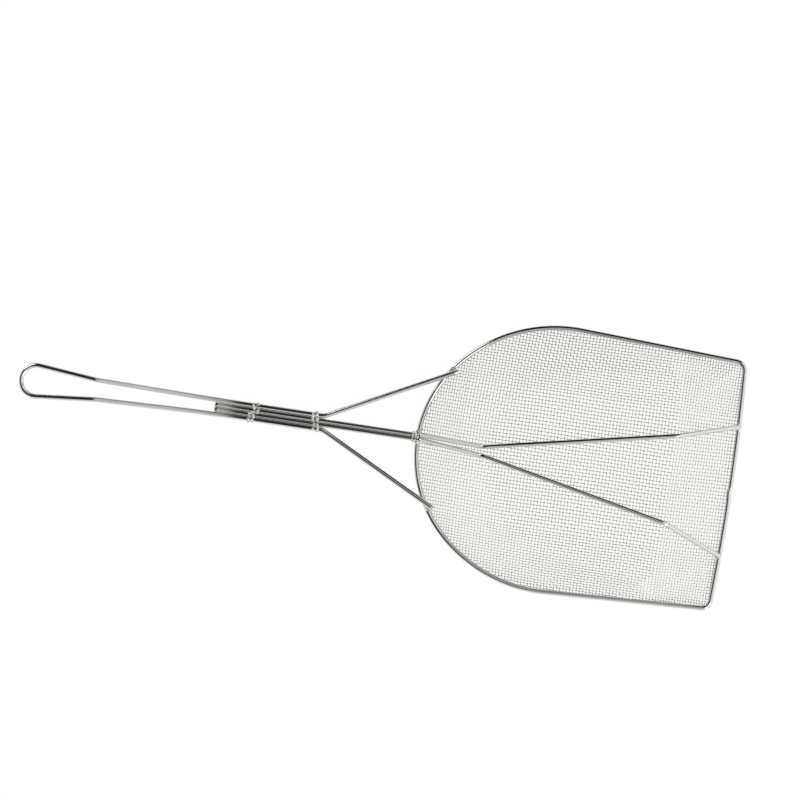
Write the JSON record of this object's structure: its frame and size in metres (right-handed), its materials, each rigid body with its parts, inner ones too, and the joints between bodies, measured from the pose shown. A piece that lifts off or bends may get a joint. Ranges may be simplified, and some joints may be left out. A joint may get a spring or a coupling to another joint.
{
  "type": "mesh skimmer",
  "caption": "Shovel-shaped skimmer: a pressed dish of woven wire cloth on a round wire rim, with support wires under it and a long bent wire handle that ends in a hanging loop.",
  "frame": {"origin": "on the plane that the skimmer rests on, under the middle of the overall box", "axes": "+X along the handle from the hanging loop to the straight front edge, +Y to the left side, +Z from the mouth of the dish to its flat bottom, so the skimmer lies mouth down"},
  "size_m": [0.6661, 0.2486, 0.0508],
  "materials": {
    "bright_wire": "bright drawn stainless wire",
    "woven_mesh": "woven stainless cloth",
    "weld_metal": "bright, lumpy weld metal"
  },
  "bodies": {
    "root": {"rim_wire": "bright_wire", "handle_wire": "bright_wire", "left_support_wire": "bright_wire", "right_support_wire": "bright_wire", "mesh_basket": "woven_mesh", "rear_bundle_weld": "weld_metal", "front_bundle_weld": "weld_metal", "rim_back_weld": "weld_metal", "left_brace_weld": "weld_metal", "right_brace_weld": "weld_metal", "left_support_weld": "weld_metal", "right_support_weld": "weld_metal", "rim_butt_weld": "weld_metal"}
  },
  "joints": []
}
